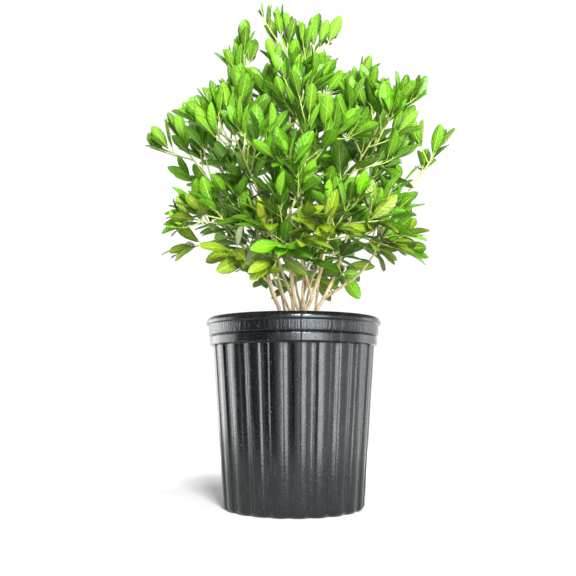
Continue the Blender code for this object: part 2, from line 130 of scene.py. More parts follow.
# Finer growth, which only the look has
FINE_TRIES = 7
TIP_GAP = 0.015
LEAF_GAP = 0.0036
LEAF_TO_LIMB = 0.0015
MOST_LEAVES = 4000
SUN_LEAF = 0.045
SHADE_LEAF = 0.051
PETIOLE_SHARE = 0.11
YOUNG_LEAN = 16
OLD_LEAN = 38
SHADED_LEAN = 64
DROOP = -0.30
# less light counted for the inner twigs' sprays, which deals them darker leaf kinds as painted shade
INNER_SHADE = 0.26
YOUNG_LENGTH = 0.82
LAST_ROOT = 0.985
LEAFY_SHARE = 0.30
LEAF_TURN = 0.7
TWIG_TURN = 0.9
BUD_TURN = 2.4
CAD_TWIG_LEAVES = 6
FINE_TWIG_LEAVES = 5
INNER_TWIG_LEAVES = 4
BUD_LEAVES = 2
LOW_TIP = 0.43
OUTER_TIP = 0.11
BARE_BELOW = 0.335
BOX_MARGIN = 0.004
TOP_FALL = 0.57
SHRINK_STEP = 0.055
LEAF_LIFT = 0.34
TWIG_LIFT = 0.62
TWIG_LEANS = (34, 56)
STEM_TWIG_LENGTHS = (0.030, 0.050)
SHOOT_TWIG_LENGTHS = (0.024, 0.040)
INNER_TWIG_LENGTHS = (0.024, 0.042)
LIMB_SLIMNESS = 0.84
# Where finer twigs leave a mass's stem, its shoots and its bough, from the sparsest to the fullest
STEM_STATIONS = ((0.62,), (0.42, 0.74), (0.34, 0.56, 0.80))
SHOOT_STATIONS = ((), (0.60,), (0.46, 0.76))
INNER_STATIONS = ((0.60, 0.90), (0.45, 0.64, 0.82, 0.95))
OLD_LEAVES = ((Vector((-0.030, -0.13, 0.41)), "yellow"), (Vector((-0.02, -0.08, 0.66)), "olive"))
BLADE_THICKNESS = 0.0005
RIB_RADII = (0.00080, 0.00070, 0.00026)
TWIG_RADII = (0.0012, 0.0011, 0.0010, 0.0008)
TWIG_DEPTH = 0.0012

# Bends and knots of the bark
BEND = 0.0009
KNOT_HEIGHTS = (0.10, 0.24)
KNOT_GAPS = (0.009, 0.020)
KNOT_LENGTH = 0.0011
SWELLING_LENGTH = 0.0035


class Kind(NamedTuple):
    """A kind of leaf: its width over its length, its fold and arch in degrees, the powers that
    shape its outline towards base and tip, its midrib's kind, its colour and its roughness."""

    broad: float
    fold: float
    arch: float
    forms: tuple
    rib: str
    colour: tuple
    roughness: float


KINDS = {
    "young": Kind(0.43, 22, -6, (1.00, 0.70), "light", (89, 152, 7), 0.36),
    "mid": Kind(0.44, 18, 4, (1.00, 0.72), "light", (92, 162, 10), 0.34),
    "mature": Kind(0.43, 15, 12, (0.96, 0.74), "light", (98, 172, 14), 0.32),
    "dark": Kind(0.42, 12, 14, (0.94, 0.76), "dull", (66, 124, 12), 0.30),
    "olive": Kind(0.41, 9, 18, (0.92, 0.76), "dull", (112, 140, 20), 0.36),
    "yellow": Kind(0.43, 10, 12, (0.94, 0.76), "dull", (186, 188, 50), 0.42),
}
# The light a spray gets picks its leaf kind, so the darker greens low and inside the crown are partly
# painted shade and partly the real green of older, shaded leaves
LIGHT_NEEDED = (("young", 0.66), ("mid", 0.42), ("mature", 0.22))
OLDER = {"young": "mid", "mid": "mature", "mature": "dark"}


@dataclass
class Limb:
    """A tapering limb along a smooth line."""

    name: str
    points: list
    radii: list
    start_direction: Vector
    end_direction: Vector
    parent: str = ""

    def at(self, share):
        """The point, direction and radius at a share of the way along."""
        place = share * (len(self.points) - 1)
        i = min(int(place), len(self.points) - 2)
        t = place - i
        point = self.points[i].lerp(self.points[i + 1], t)
        direction = (self.points[i + 1] - self.points[i]).normalized()
        radius = self.radii[i] + (self.radii[i + 1] - self.radii[i]) * t
        return point, direction, radius


@dataclass
class Stem:
    """Where a stem leaves the mix and where it ends, as azimuth and distance from the axis."""

    name: str
    foot_azimuth: float
    foot_reach: float
    tip_azimuth: float
    tip_reach: float
    tip_height: float
    radius: float


@dataclass
class Mass:
    """One mass of foliage: its stem's tip and lean, and the limb that its bough leaves."""

    limb: str
    name: str
    station: float
    azimuth: float
    reach: float
    height: float
    lean: float
    seed: int
    fine: int
    outer: int
    inner: int
    length: float = 0.118
    shoots: int = 3

    def tip(self):
        return polar(self.azimuth, self.reach, self.height)

    def root(self):
        return self.tip() - leaning(self.azimuth, self.lean) * self.length

    def site(self):
        return self.root().lerp(self.tip(), SITE_SHARE)


class Leaf:
    """A leaf: where its petiole starts, its heading, the side that looks up, and its own form."""

    def __init__(self, root, heading, face, length, kind, chance):
        look = KINDS[kind]
        self.root, self.heading, self.face = root, heading, face
        self.length, self.kind, self.forms = length, kind, look.forms
        self.width = length * look.broad * chance.uniform(0.88, 1.1)
        self.petiole = PETIOLE_SHARE * length * chance.uniform(0.7, 1.2)
        self.fold = radians(look.fold) * chance.uniform(0.5, 1.4)
        self.arch = radians(look.arch) * chance.uniform(0.3, 1.6)
        self.twist = radians(chance.uniform(-16, 16))
        self.wave = chance.uniform(0.02, 0.09)
        self.phase = chance.uniform(0, 6.28)


STEMS = (
    Stem("stem_centre", 0, 0.000, 180, 0.002, 0.338, 0.0042),
    Stem("stem_left", 205, 0.017, 195, 0.048, 0.366, 0.0033),
    Stem("stem_left_back", 120, 0.020, 128, 0.046, 0.372, 0.0026),
    Stem("stem_right_front", 312, 0.020, 312, 0.054, 0.336, 0.0036),
    Stem("stem_right", 15, 0.026, 12, 0.062, 0.340, 0.0036),
    Stem("stem_back", 75, 0.027, 72, 0.066, 0.352, 0.0031),
)
LEADER = Stem("leader", 180, 0.002, 190, 0.006, 0.640, 0.0034)

# The masses of each limb: name, station on the limb, azimuth, reach and height of the tip, lean,
# the seeds of its shoots and of its finer growth, how full its outer and inner twigs are, and its
# length and number of shoots where they aren't the usual ones
MASS_ROWS = {
    "leader": (
        ("top", 1.0, 185, 0.010, 0.750, 3, 10, 10, 0, 1, 0.105, 4),
        ("top_right", 0.90, 352, 0.036, 0.740, 8, 2, 20, 0, 1, 0.095, 2),
        ("upper_left", 0.72, 178, 0.086, 0.708, 16, 6, 3, 0, 0, 0.095, 2),
        ("upper_right", 0.78, 8, 0.094, 0.660, 28, 12, 23, 0, 1, 0.100, 3),
        ("upper_front", 0.62, 270, 0.082, 0.640, 30, 2, 24, 2, 1),
        ("upper_back", 0.55, 95, 0.090, 0.645, 30, 1, 8, 2, 1),
    ),
    "stem_left": (
        ("shoulder_left", 1.0, 182, 0.128, 0.622, 26, 2, 14, 1, 1),
        ("left", 0.76, 190, 0.180, 0.562, 36, 12, 22, 0, 0),
        ("low_left", 0.50, 178, 0.158, 0.450, 56, 3, 13, 0, 0),
    ),
    "stem_centre": (
        ("front_left", 0.74, 234, 0.160, 0.560, 36, 10, 0, 2, 1),
        ("low_front_left", 0.46, 216, 0.150, 0.440, 56, 6, 27, 1, 0),
    ),
    "stem_left_back": (
        ("back_left", 1.0, 142, 0.172, 0.570, 38, 11, 28, 2, 1),
        ("low_back_left", 0.70, 132, 0.156, 0.440, 56, 6, 18, 1, 1),
    ),
    "stem_right_front": (
        ("front", 0.76, 278, 0.152, 0.552, 34, 3, 28, 2, 1),
        ("front_right", 1.0, 322, 0.166, 0.570, 36, 3, 2, 2, 1),
        ("low_front", 0.34, 262, 0.148, 0.430, 54, 7, 18, 2, 1),
        ("low_front_right", 0.52, 302, 0.150, 0.435, 56, 7, 23, 2, 0),
    ),
    "stem_right": (
        ("right", 1.0, 2, 0.160, 0.626, 24, 13, 12, 2, 0),
        ("far_right", 0.74, 6, 0.236, 0.562, 34, 6, 1, 0, 0, 0.080, 1),
        ("low_right", 0.50, 342, 0.164, 0.440, 58, 3, 11, 1, 0),
    ),
    "stem_back": (
        ("back_right", 0.80, 44, 0.178, 0.580, 36, 1, 17, 2, 0),
        ("back", 1.0, 92, 0.172, 0.570, 36, 6, 0, 2, 1),
        ("low_back_right", 0.40, 40, 0.156, 0.440, 56, 0, 25, 2, 1),
        ("low_back", 0.60, 86, 0.152, 0.440, 56, 1, 29, 2, 1),
    ),
}
MASSES = [Mass(limb, *row) for limb, rows in MASS_ROWS.items() for row in rows]
FOLIAGE = ["foliage_" + mass.name for mass in MASSES]


def polar(azimuth, reach, height):
    angle = radians(azimuth)
    return Vector((reach * cos(angle), reach * sin(angle), height))


def leaning(azimuth, lean):
    """The direction that leans from upright towards an azimuth, both in degrees."""
    tilt = radians(lean)
    return polar(azimuth, sin(tilt), cos(tilt))


def smooth_line(start, end, start_direction, end_direction, count):
    """Points along the cubic curve that leaves start and reaches end in the given directions."""
    handle = (end - start).length / 3
    a, b = start + start_direction * handle, end - end_direction * handle
    line = []
    for i in range(count):
        t = i / (count - 1)
        u = 1 - t
        line.append(start * u**3 + a * (3 * u * u * t) + b * (3 * u * t * t) + end * t**3)
    return line


def across(direction):
    """Two unit vectors at right angles to a direction and to each other."""
    side = direction.orthogonal().normalized()
    return side, direction.cross(side).normalized()


def leaned(direction, sides, turn, lean):
    """A direction leaned over by an angle, towards a turn round it, and the way of that turn."""
    radial = sides[0] * cos(turn) + sides[1] * sin(turn)
    return direction * cos(lean) + radial * sin(lean), radial


def tapering(first, last, count):
    return [first + (last - first) * i / (count - 1) for i in range(count)]


def stem_limb(stem):
    foot = polar(stem.foot_azimuth, stem.foot_reach, MIX_TOP + CLEAR)
    tip = polar(stem.tip_azimuth, stem.tip_reach, stem.tip_height)
    line = smooth_line(foot, tip, UP, (tip - foot).normalized(), STEM_RINGS)
    flare_top = foot + (line[1] - foot) * (FLARE_HEIGHT / (line[1] - foot).length)
    line.insert(1, flare_top)
    radii = tapering(stem.radius, stem.radius * (1 - STEM_TAPER), STEM_RINGS)
    radii.insert(0, stem.radius * FLARE)
    return Limb(stem.name, line, radii, UP, (line[-1] - line[-2]).normalized())


def leader_limb(centre):
    direction = centre.end_direction
    start = centre.points[-1] + direction * CLEAR
    tip = polar(LEADER.tip_azimuth, LEADER.tip_reach, LEADER.tip_height)
    line = smooth_line(start, tip, direction, UP, STEM_RINGS + 2)
    radii = tapering(LEADER.radius, LEADER.radius * (1 - LEADER_TAPER), len(line))
    return Limb(LEADER.name, line, radii, direction, UP, centre.name)


def bough_limb(mass, parent):
    start, parent_direction, parent_radius = parent.at(mass.station)
    end_direction = leaning(mass.azimuth, mass.lean)
    end = mass.root() - end_direction * CLEAR
    if mass.station >= 1:
        start_direction = parent.end_direction
        start = start + start_direction * CLEAR
        root_radius = parent.radii[-1]
    else:
        towards = (end - start).normalized()
        outward = (towards - parent_direction * towards.dot(parent_direction)).normalized()
        start_direction = parent_direction * cos(FORK_ANGLE) + outward * sin(FORK_ANGLE)
        root_radius = min(BOUGH_ROOT_RADIUS, parent_radius * BOUGH_ROOT_SHARE)
    line = smooth_line(start, end, start_direction, end_direction, BOUGH_RINGS)
    radii = tapering(root_radius, MASS_STEM_RADIUS, BOUGH_RINGS)
    return Limb("bough_" + mass.name, line, radii, start_direction, end_direction, parent.name)


def grown_limbs():
    carriers = {stem.name: stem_limb(stem) for stem in STEMS}
    carriers["leader"] = leader_limb(carriers["stem_centre"])
    limbs = dict(carriers)
    for mass in MASSES:
        limb = bough_limb(mass, carriers[mass.limb])
        limbs[limb.name] = limb
    return limbs, carriers


def distance_to_limb(point, limb):
    """How far a point is outside a limb's skin."""
    nearest = 1.0
    for i in range(len(limb.points) - 1):
        a, b = limb.points[i], limb.points[i + 1]
        span = b - a
        t = max(0.0, min(1.0, (point - a).dot(span) / span.length_squared))
        radius = limb.radii[i] + (limb.radii[i + 1] - limb.radii[i]) * t
        nearest = min(nearest, (point - a - span * t).length - radius)
    return nearest


class Space:
    """The space of a mass: its own cell for shoots, and its reach for the finer growth."""

    def __init__(self, mass, limbs):
        here = mass.site()
        self.walls = []
        for other in MASSES:
            if other is not mass:
                there = other.site()
                self.walls.append(((here + there) / 2, (there - here).normalized()))
        self.farthest = mass.reach + LEAF_REACH
        self.highest = mass.height + LEAF_REACH
        self.limbs = limbs

    def reaches(self, points):
        near = all(hypot(p.x, p.y) < self.farthest for p in points)
        return near and all(LOWEST_LEAF < p.z < self.highest for p in points)

    def in_box(self, points):
        """True if points stay within the box of the solids, but for a little."""
        low, high = CAD_BOX
        for point in points:
            if not all(low[i] - BOX_MARGIN < point[i] < high[i] + BOX_MARGIN for i in range(3)):
                return False
            # The crown's front falls away from its tip
            if point.z > high[2] + TOP_FALL * point.y:
                return False
        return True

    def holds(self, points):
        """True if points keep to the mass's own cell and its reach, and off the limbs."""
        for middle, outward in self.walls:
            if any((p - middle).dot(outward) > -SPACE_MARGIN for p in points):
                return False
        clear = all(distance_to_limb(p, limb) > LIMB_MARGIN for limb in self.limbs for p in points)
        return clear and self.reaches(points)


def first_twigs(mass, space):
    """The mass's stem and its shoots, by the same draws as in the solids."""
    chance = random.Random(f"{mass.name} {mass.seed}")
    rise = UPRIGHT_RISE - LEANING_FALL * mass.lean / 60
    direction = leaning(mass.azimuth, mass.lean)
    upward = leaning(mass.azimuth, mass.lean * 0.7)
    line = smooth_line(mass.root(), mass.tip(), direction, upward, len(MASS_STEM_RADII))
    stem = Limb("stem", line, MASS_STEM_RADII, direction, upward)
    twigs = [stem]
    sides = across(direction)
    turn = chance.uniform(0, 2 * pi)
    for k in range(mass.shoots):
        share = FIRST_SHOOT + SHOOT_SPREAD * k / max(1, mass.shoots - 1)
        start, _, _ = stem.at(share)
        for attempt in range(MOST_TRIES):
            spin = turn + k * 2 * pi / mass.shoots + attempt * SHOOT_TURN
            lean = radians(chance.uniform(*SHOOT_LEANS))
            away, _ = leaned(direction, sides, spin, lean)
            length = mass.length * chance.uniform(*SHOOT_LENGTHS) * (1.1 - 0.4 * share)
            end = start + away * length + UP * (rise * 0.05)
            turned = (away + UP * (0.2 + rise)).normalized()
            shoot = smooth_line(start, end, away, turned, len(SHOOT_RADII))
            if space.holds(shoot[1:]):
                twigs.append(Limb("shoot", shoot, SHOOT_RADII, away, turned))
                break
    return twigs, rise


class Crown:
    """The limbs, twig tips and leaves placed so far, which finer growth keeps clear of."""

    def __init__(self, limbs):
        segments = [(limb, i) for limb in limbs for i in range(len(limb.points) - 1)]
        self.starts = np.array([limb.points[i][:] for limb, i in segments])
        self.spans = np.array([(limb.points[i + 1] - limb.points[i])[:] for limb, i in segments])
        self.radii = np.array([limb.radii[i] for limb, i in segments])
        self.placed = np.zeros((MOST_LEAVES * len(SAMPLES), 3))
        self.count = 0
        self.tips = []

    def off_limbs(self, points, margin):
        gaps = points[:, None, :] - self.starts[None]
        lengths = (self.spans**2).sum(-1)
        t = ((gaps * self.spans).sum(-1) / lengths).clip(0, 1)
        reach = np.linalg.norm(gaps - t[..., None] * self.spans, axis=-1) - self.radii
        return reach.min() > margin

    def off_leaves(self, points, margin):
        placed = self.placed[: self.count]
        if not len(placed):
            return True
        return ((placed[:, None, :] - points[None]) ** 2).sum(-1).min() > margin * margin

    def has_room(self, tip):
        return all((tip - other).length > TIP_GAP for other in self.tips)

    def keep(self, points):
        self.placed[self.count : self.count + len(points)] = points
        self.count += len(points)


# Leaves

STATIONS = np.array([0.10, 0.24, 0.40, 0.56, 0.71, 0.84, 0.94])
ACROSS = np.array([-1.0, -0.55, 0.0, 0.55, 1.0])
SAMPLES = ((2, 2), (4, 0), (4, 2), (4, 4), (6, 2))


def upper(station, place):
    return 2 + station * len(ACROSS) + place


def under(station, place):
    if place in (0, len(ACROSS) - 1):
        return upper(station, place)
    inner = len(ACROSS) - 2
    return 2 + len(STATIONS) * len(ACROSS) + station * inner + place - 1


def blade_faces():
    """Corners of a blade's faces, first those of the upper side. 0 is its base and 1 its tip."""
    last = len(STATIONS) - 1
    sides = []
    for corner in (upper, under):
        faces = []
        for k in range(len(ACROSS) - 1):
            faces.append((0, corner(0, k + 1), corner(0, k)))
            for s in range(last):
                faces.append((corner(s, k), corner(s, k + 1), corner(s + 1, k + 1), corner(s + 1, k)))
            faces.append((corner(last, k), corner(last, k + 1), 1))
        sides.append(faces)
    return sides[0], [face[::-1] for face in sides[1]]


TOP_FACES, UNDER_FACES = blade_faces()


def blade_places():
    """Where each corner of a blade's faces lies: across from 0 to 1, and along from 0 to 1."""
    inner = slice(1, -1)
    points = [(0.5, 0.0), (0.5, 1.0)]
    points += [(0.5 + x / 2, y) for y in STATIONS for x in ACROSS]
    points += [(0.5 + x / 2, y) for y in STATIONS for x in ACROSS[inner]]
    return np.array([points[i] for face in TOP_FACES + UNDER_FACES for i in face])


BLADE_PLACES = blade_places()


def blade(leaf):
    """The blade's upper points by station, its midline from base to tip, and the normals there."""
    heading = np.array(leaf.heading.normalized()[:])
    side = np.cross(heading, np.array(leaf.face[:]))
    side /= np.linalg.norm(side)
    normal = np.cross(side, heading)
    t = np.concatenate([[0.0], STATIONS, [1.0]])
    bend = leaf.arch * (t - 0.2)
    steps = np.diff(t, prepend=0.0)[:, None]
    ways = np.cos(bend)[:, None] * heading - np.sin(bend)[:, None] * normal
    ups = np.sin(bend)[:, None] * heading + np.cos(bend)[:, None] * normal
    start = np.array(leaf.root[:]) + heading * leaf.petiole
    line = start + np.cumsum(ways * steps, axis=0) * leaf.length
    a, b = leaf.forms
    peak = (a / (a + b)) ** a * (b / (a + b)) ** b
    wide = t**a * (1 - t) ** b / peak * leaf.width / 2
    twist = leaf.twist * t
    sides = np.cos(twist)[:, None] * side + np.sin(twist)[:, None] * ups
    ups = np.cos(twist)[:, None] * ups - np.sin(twist)[:, None] * side
    rise = np.abs(ACROSS) ** 1.4 * sin(leaf.fold)
    wave = leaf.wave * np.sin(t * 10 + leaf.phase)[:, None] * ACROSS * np.abs(ACROSS)
    flat = ACROSS * cos(leaf.fold)
    grid = line[:, None] + wide[:, None, None] * (
        flat[None, :, None] * sides[:, None] + (rise + wave)[:, :, None] * ups[:, None]
    )
    return grid[1:-1], line, ups


def blade_points(grid, line, ups):
    """All points of the thin closed blade, in the order that upper() and under() count them."""
    inner = slice(1, -1)
    sunk = BLADE_THICKNESS * (1 - ACROSS[inner] ** 2)
    below = grid[:, inner] - sunk[None, :, None] * ups[1:-1, None]
    return np.concatenate([line[:1], line[-1:], grid.reshape(-1, 3), below.reshape(-1, 3)])


def midrib(leaf, line, ups):
    """A thin tube for the petiole and midrib, as points and faces."""
    middle = line[:-1] - ups[:-1] * BLADE_THICKNESS / 2
    points = np.concatenate([np.array(leaf.root[:])[None], middle])
    radii = np.interp(np.arange(len(points)), (0, 1, len(points) - 1), RIB_RADII)
    return tube([Vector(p) for p in points], radii, 3)


def try_leaf(leaf, crown, space):
    """True if the leaf keeps to its reach, off the limbs and clear of the others."""
    grid, line, ups = blade(leaf)
    points = np.array([grid[s, k] for s, k in SAMPLES] + [line[-1]])
    outer = [Vector(p) for p in points]
    if not space.reaches(outer) or not space.in_box(outer):
        return False
    if not crown.off_limbs(points, LEAF_TO_LIMB) or not crown.off_leaves(points, LEAF_GAP):
        return False
    crown.keep(points[:-1])
    return True


def clamped(value, most=1):
    return max(0, min(most, value))


def exposure(point):
    """How much light reaches a spray there, from about 0 in the crown's low middle to 1."""
    out = hypot(point.x, point.y) / 0.20
    return 0.62 * clamped((point.z - 0.40) / 0.28, 1.2) + 0.38 * clamped(out, 1.1)


# painted shade: sprays that get less light are dealt darker leaf colours
def spray_kind(light, low, chance):
    light += chance.uniform(-0.13, 0.13)
    if low and chance.random() < 0.55:
        return "olive"
    for kind, least in LIGHT_NEEDED:
        if light > least:
            return kind
    return "dark"


def grow_spray(twig, count, shade, rise, crown, space, chance):
    """Leaves round the end of a twig: its youngest upright at the tip, and older ones below."""
    sides = across(twig.end_direction)
    first = chance.uniform(0, 2 * pi)
    tip = twig.points[-1]
    light = exposure(tip) - shade
    leaf_length = SUN_LEAF + (SHADE_LEAF - SUN_LEAF) * clamped((0.9 - light) / 0.6)
    low = tip.z < LOW_TIP and hypot(tip.x, tip.y) > OUTER_TIP
    kind = spray_kind(light, low, chance)
    made = []
    lift = rise + LEAF_LIFT * clamped((light - 0.3) / 0.4)
    old_lean = OLD_LEAN + (SHADED_LEAN - OLD_LEAN) * clamped((0.62 - light) / 0.4)
    for k in range(count):
        age = k / (count - 1)
        root, direction, _ = twig.at(LAST_ROOT - LEAFY_SHARE * age**1.4)
        if age > 0.75 and chance.random() < 0.5:
            kind = OLDER.get(kind, kind)
        for attempt in range(FINE_TRIES):
            turn = first + k * GOLDEN_ANGLE + attempt * LEAF_TURN
            lean = radians(YOUNG_LEAN + (old_lean - YOUNG_LEAN) * age) * chance.uniform(0.8, 1.25)
            heading, _ = leaned(direction, sides, turn, lean)
            heading.z = max(heading.z + lift, DROOP)
            heading.normalize()
            face = direction * 0.7 + UP * 0.4
            face = (face - heading * face.dot(heading)).normalized()
            grown = YOUNG_LENGTH + (1 - YOUNG_LENGTH) * age
            length = leaf_length * grown * chance.uniform(0.86, 1.14) * (1 - SHRINK_STEP * attempt)
            leaf = Leaf(root, heading, face, length, kind, chance)
            if try_leaf(leaf, crown, space):
                made.append(leaf)
                break
    for k in range(BUD_LEAVES):
        lean = radians(chance.uniform(6, 16))
        heading, radial = leaned(twig.end_direction, sides, first + BUD_TURN * k, lean)
        length = leaf_length * chance.uniform(0.24, 0.42)
        bud = Leaf(tip, heading, -radial, length, "young", chance)
        if space.in_box([Vector(p) for p in blade(bud)[1]]):
            made.append(bud)
    return made


def side_twigs(parent, stations, lengths, rise, crown, space, chance):
    """Finer twigs that leave a twig at the given shares of its length and turn up."""
    sides = across(parent.end_direction)
    turn = chance.uniform(0, 2 * pi)
    made = []
    for k, station in enumerate(stations):
        start, direction, _ = parent.at(station)
        if start.z < BARE_BELOW:
            continue
        for attempt in range(FINE_TRIES):
            spin = turn + k * GOLDEN_ANGLE + attempt * TWIG_TURN
            lean = radians(chance.uniform(*TWIG_LEANS))
            away, _ = leaned(direction, sides, spin, lean)
            length = chance.uniform(*lengths)
            end = start + away * length + UP * ((0.12 + rise * 0.4) * length)
            turned = (away + UP * (TWIG_LIFT + rise)).normalized()
            line = smooth_line(start, end, away, turned, len(TWIG_RADII))
            outer = np.array([p[:] for p in line[2:]])
            fits = space.reaches(line[1:]) and crown.off_limbs(outer, LIMB_MARGIN)
            if fits and crown.has_room(end):
                made.append(Limb("twig", line, TWIG_RADII, away, turned))
                crown.tips.append(end)
                break
    return made


def grow_mass(mass, limbs, crown, space, twigs, rise):
    """The finer twigs of a mass and the leaves of all its twigs."""
    chance = random.Random(f"{mass.name} fine {mass.fine}")
    sprays = [(twig, CAD_TWIG_LEAVES, 0) for twig in twigs]
    finer = []
    for twig in twigs:
        stations, lengths = SHOOT_STATIONS[mass.outer], SHOOT_TWIG_LENGTHS
        if twig is twigs[0]:
            stations, lengths = STEM_STATIONS[mass.outer], STEM_TWIG_LENGTHS
        finer += side_twigs(twig, stations, lengths, rise, crown, space, chance)
    sprays += [(twig, FINE_TWIG_LEAVES, 0) for twig in finer]
    bough = limbs["bough_" + mass.name]
    stations = INNER_STATIONS[mass.inner]
    inner = side_twigs(bough, stations, INNER_TWIG_LENGTHS, rise, crown, space, chance)
    sprays += [(twig, INNER_TWIG_LEAVES, INNER_SHADE) for twig in inner]
    leaves = []
    for twig, count, shade in sprays:
        leaves += grow_spray(twig, count, shade, rise, crown, space, chance)
    return finer + inner, leaves


def out_of_sight(leaf, place):
    """How far a leaf is from a place, more for one that lies back or turns its edge to the front."""
    middle = leaf.root + leaf.heading * leaf.length / 2
    side = leaf.heading.cross(leaf.face)
    shown = abs(side.cross(leaf.heading).y) * leaf.length
    return (middle - place).length + 0.5 * (middle.y - place.y) - shown


def grow_crown(limbs):
    """All twigs, older and finer, and all leaves."""
    crown = Crown(list(limbs.values()))
    older, finer, leaves, started = [], [], [], []
    for mass in MASSES:
        space = Space(mass, list(limbs.values()))
        twigs, rise = first_twigs(mass, space)
        crown.tips += [twig.points[-1] for twig in twigs]
        started.append((mass, limbs, crown, space, twigs, rise))
        older += twigs
    for growth in started:
        fine, grown = grow_mass(*growth)
        finer += fine
        leaves += grown
    for place, kind in OLD_LEAVES:
        min(leaves, key=lambda leaf: out_of_sight(leaf, place)).kind = kind
    return older, finer, leaves


# Meshes


def walls(first, rings, sides):
    """Faces between rings of points, seen from outside where the rings go up."""
    faces = []
    for i in range(rings - 1):
        a, b = first + i * sides, first + (i + 1) * sides
        faces += [(a + k, a + (k + 1) % sides, b + (k + 1) % sides, b + k) for k in range(sides)]
    return faces


def turned_over(faces):
    return [face[::-1] for face in faces]


def closed_walls(rings, sides):
    """The walls of a tube with a face on each end."""
    last = (rings - 1) * sides
    ends = [tuple(range(sides))[::-1], tuple(range(last, last + sides))]
    return walls(0, rings, sides) + ends


def linked(name, data):
    obj = bpy.data.objects.new(name, data)
    bpy.context.scene.collection.objects.link(obj)
    return obj


def tube(points, radii, sides):
    """Points and faces of a tube round a line, as lists that start at 0."""
    line = [Vector(p) for p in points]
    side, _ = across((line[1] - line[0]).normalized())
    verts = []
    for i, (point, radius) in enumerate(zip(line, radii)):
        along = (line[min(i + 1, len(line) - 1)] - line[max(i - 1, 0)]).normalized()
        side = (side - along * side.dot(along)).normalized()
        other = along.cross(side)
        for k in range(sides):
            angle = 2 * pi * k / sides
            verts.append(point + (side * cos(angle) + other * sin(angle)) * radius)
    return verts, closed_walls(len(line), sides)


class Build:
    """Collects closed shapes into one mesh."""

    def __init__(self):
        self.verts, self.faces, self.slots = [], [], None

    def add(self, verts, faces):
        first = len(self.verts)
        self.verts.extend(tuple(v) for v in verts)
        self.faces.extend(tuple(first + i for i in face) for face in faces)

    def piece(self, name, materials, slot, replaced=(), sharp=None):
        mesh = bpy.data.meshes.new(name)
        mesh.from_pydata(self.verts, [], self.faces)
        for material in materials:
            mesh.materials.append(material)
        if self.slots:
            mesh.polygons.foreach_set("material_index", self.slots)
        mesh.shade_smooth()
        if sharp:
            mesh.set_sharp_from_angle(angle=radians(sharp))
        mesh.update()
        obj = linked(name, mesh)
        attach(obj, "root")
        if replaced:
            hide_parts(*replaced)
        return obj


# Bark


def through(limb, spacing):
    """The smooth line through a limb's points, at about that spacing, with the slimmer radii."""
    points, radii = limb.points, [r * LIMB_SLIMNESS for r in limb.radii]
    line = [points[0] * 2 - points[1]] + list(points) + [points[-1] * 2 - points[-2]]
    made, sizes = [], []
    for i in range(1, len(line) - 2):
        a, b, c, d = line[i - 1 : i + 3]
        count = max(2, round((c - b).length / spacing))
        for k in range(count):
            t = k / count
            point = (
                b * 2
                + (c - a) * t
                + (a * 2 - b * 5 + c * 4 - d) * t * t
                + (b * 3 - a - c * 3 + d) * t**3
            ) / 2
            made.append(point)
            sizes.append(radii[i - 1] + (radii[i] - radii[i - 1]) * t)
    return made + [points[-1].copy()], sizes + [radii[-1]]


def barked(limb, sides, spacing, depth, swelling):
    """A limb's tube with its bends, knots, ridges and the swelling where it leaves its parent."""
    points, radii = through(limb, spacing)
    chance = random.Random("bark " + limb.name)
    total = len(points) - 1
    seed = Vector((chance.uniform(0, 50), chance.uniform(0, 50), 0))
    knots, place = [], chance.uniform(0.004, 0.012)
    length = sum((b - a).length for a, b in zip(points, points[1:]))
    while place < length:
        knots.append((place, chance.uniform(*KNOT_HEIGHTS)))
        place += chance.uniform(*KNOT_GAPS)
    line, tops, travelled = [], [], 0.0
    for i, point in enumerate(points):
        if i:
            travelled += (point - points[i - 1]).length
        shift = noise.noise_vector(seed + UP * (travelled * 45))
        line.append(point + shift * (BEND * sin(pi * i / total)))
        swell = sum(h * exp(-(((travelled - p) / KNOT_LENGTH) ** 2)) for p, h in knots)
        tops.append(1 + swell + swelling * exp(-travelled / SWELLING_LENGTH))
    if depth:
        line.insert(0, line[0] - limb.start_direction * depth)
        radii.insert(0, radii[0])
        tops.insert(0, tops[0])
    verts, faces = tube(line, radii, sides)
    relief = []
    for index, vert in enumerate(verts):
        ring = index // sides
        rough = noise.noise(vert * 900 + seed) * 0.05
        rough += noise.noise(Vector((vert.x * 420, vert.y * 420, vert.z * 90)) + seed) * 0.10
        relief.append(line[ring] + (vert - line[ring]) * (tops[ring] + rough))
    return relief, faces


def bark_pieces(limbs, carriers):
    boughs = [name for name in limbs if name not in carriers]
    for piece, material, names, sides, spacing in (
        ("stems_bark", "bark", list(carriers), 16, 0.0012),
        ("boughs_bark", "bough", boughs, 12, 0.0014),
    ):
        build = Build()
        for limb in (limbs[name] for name in names):
            depth, swelling = 0.0, 0.0
            if limb.parent:
                continued = limb.start_direction == limbs[limb.parent].end_direction
                depth, swelling = (0.0010, 0.0) if continued else (0.0022, 0.45)
            build.add(*barked(limb, sides, spacing, depth, swelling))
        build.piece(piece, [MATERIALS[material]], "tan_bark", names)


def twig_pieces(older, finer):
    for age, twigs, spacing, sides in (("older", older, 0.006, 7), ("young", finer, 0.005, 6)):
        build = Build()
        for twig in twigs:
            points, radii = through(twig, spacing)
            if twigs is older:
                # Older twigs start a little way inside their limb
                points.insert(0, points[0] - (points[1] - points[0]).normalized() * TWIG_DEPTH)
                radii.insert(0, radii[0])
            build.add(*tube(points, radii, sides))
        build.piece("twigs_" + age, [MATERIALS[age + "_twig"]], "leaf_green", FOLIAGE, 50)


